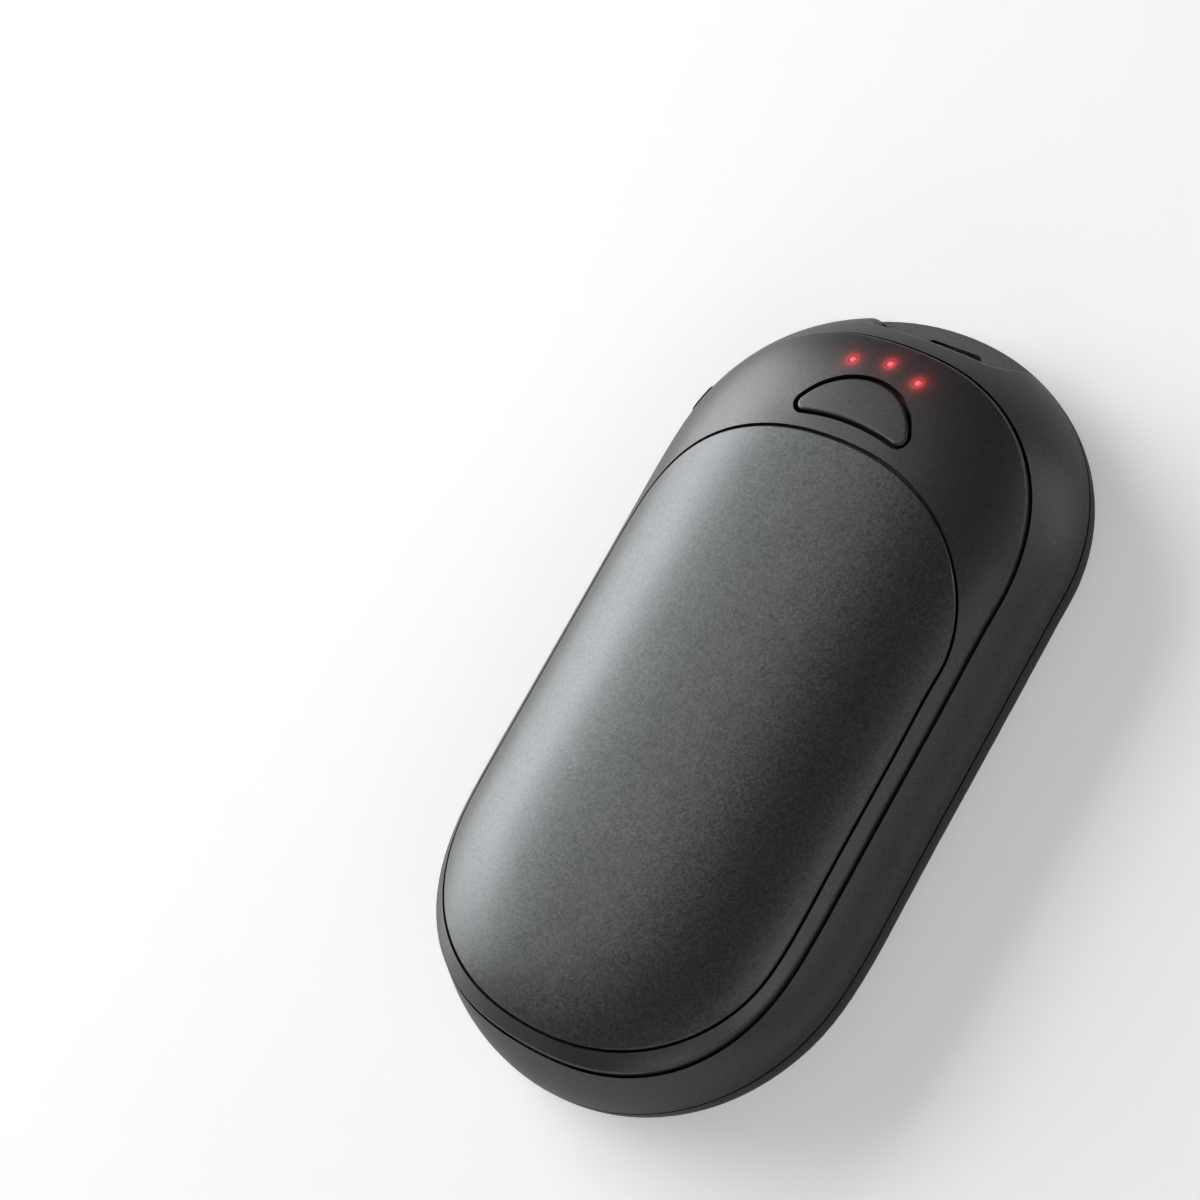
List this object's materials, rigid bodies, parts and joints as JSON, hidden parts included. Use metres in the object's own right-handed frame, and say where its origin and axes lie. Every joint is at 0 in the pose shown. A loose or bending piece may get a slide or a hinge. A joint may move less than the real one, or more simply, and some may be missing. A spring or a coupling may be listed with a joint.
{
  "type": "rechargeable hand warmer",
  "caption": "Pocket-sized rechargeable hand warmer with a crowned metal front, half-moon power button, red status lights and a rubber port flap",
  "frame": {"origin": "middle of the flat back face", "axes": "+X across to the right seen from the front, +Y along to the button end, +Z out of the front"},
  "size_m": [0.0522, 0.0928, 0.017],
  "materials": {
    "black_shell": "fine matte moulded texture",
    "black_panel": "smooth satin",
    "black_button": "fine satin",
    "satin_aluminium": "bead blasted and anodised dark grey",
    "black_rubber": "matte",
    "lamp_red": "clear moulded, lit red",
    "clear_adhesive": "double-sided tape",
    "amber_film": "polyimide film",
    "pale_foam": "ceramic paper and foam",
    "bead_ceramic": "fired ceramic",
    "dark_frame": "plain moulded",
    "cell_pouch": "foil pouch",
    "nickel_strip": "plain rolled",
    "green_board": "solder mask",
    "zinc_steel": "zinc plated",
    "port_steel": "drawn stainless"
  },
  "bodies": {
    "housing": {"back_cover": "black_shell", "mid_shell": "black_shell", "front_panel": "black_panel", "front_cover": "satin_aluminium", "cover_adhesive": "clear_adhesive", "front_heater": "amber_film", "front_insulation": "pale_foam", "thermistor": "bead_ceramic", "inner_frame": "dark_frame", "battery_cell": "cell_pouch", "cell_tape": "pale_foam", "cell_strips": "nickel_strip", "rear_heater": "amber_film", "rear_insulation": "pale_foam", "main_board": "green_board", "board_screws": "zinc_steel", "status_leds": "lamp_red", "light_guide": "lamp_red", "tact_switch": "dark_frame", "usb_shell": "port_steel", "usb_tongue": "dark_frame", "micro_controller": "dark_frame", "charge_chip": "dark_frame", "power_inductor": "dark_frame", "chip_capacitors": "bead_ceramic", "heater_connectors": "pale_foam", "flap_pin": "zinc_steel"},
    "power_button": {"power_button": "black_button"},
    "switch_plunger": {"switch_plunger": "dark_frame"},
    "port_flap": {"port_flap": "black_rubber"}
  },
  "joints": [
    {"name": "button_press", "type": "slide", "parent": "housing", "child": "power_button", "axis": [0, 0, -1], "range_m": [0, 0.0005], "stiffness_N_per_m": 1500},
    {"name": "plunger_press", "type": "slide", "parent": "housing", "child": "switch_plunger", "axis": [0, 0, -1], "range_m": [0, 0.0005]},
    {"name": "flap_swing", "type": "hinge", "parent": "housing", "child": "port_flap", "pos_m": [-0.01541, 0.04076, 0.0049], "axis": [0, 0, -1], "range_deg": [0, 85]}
  ],
  "couplings": [
    {"joint": "plunger_press", "follows": "button_press", "ratio": 1}
  ]
}
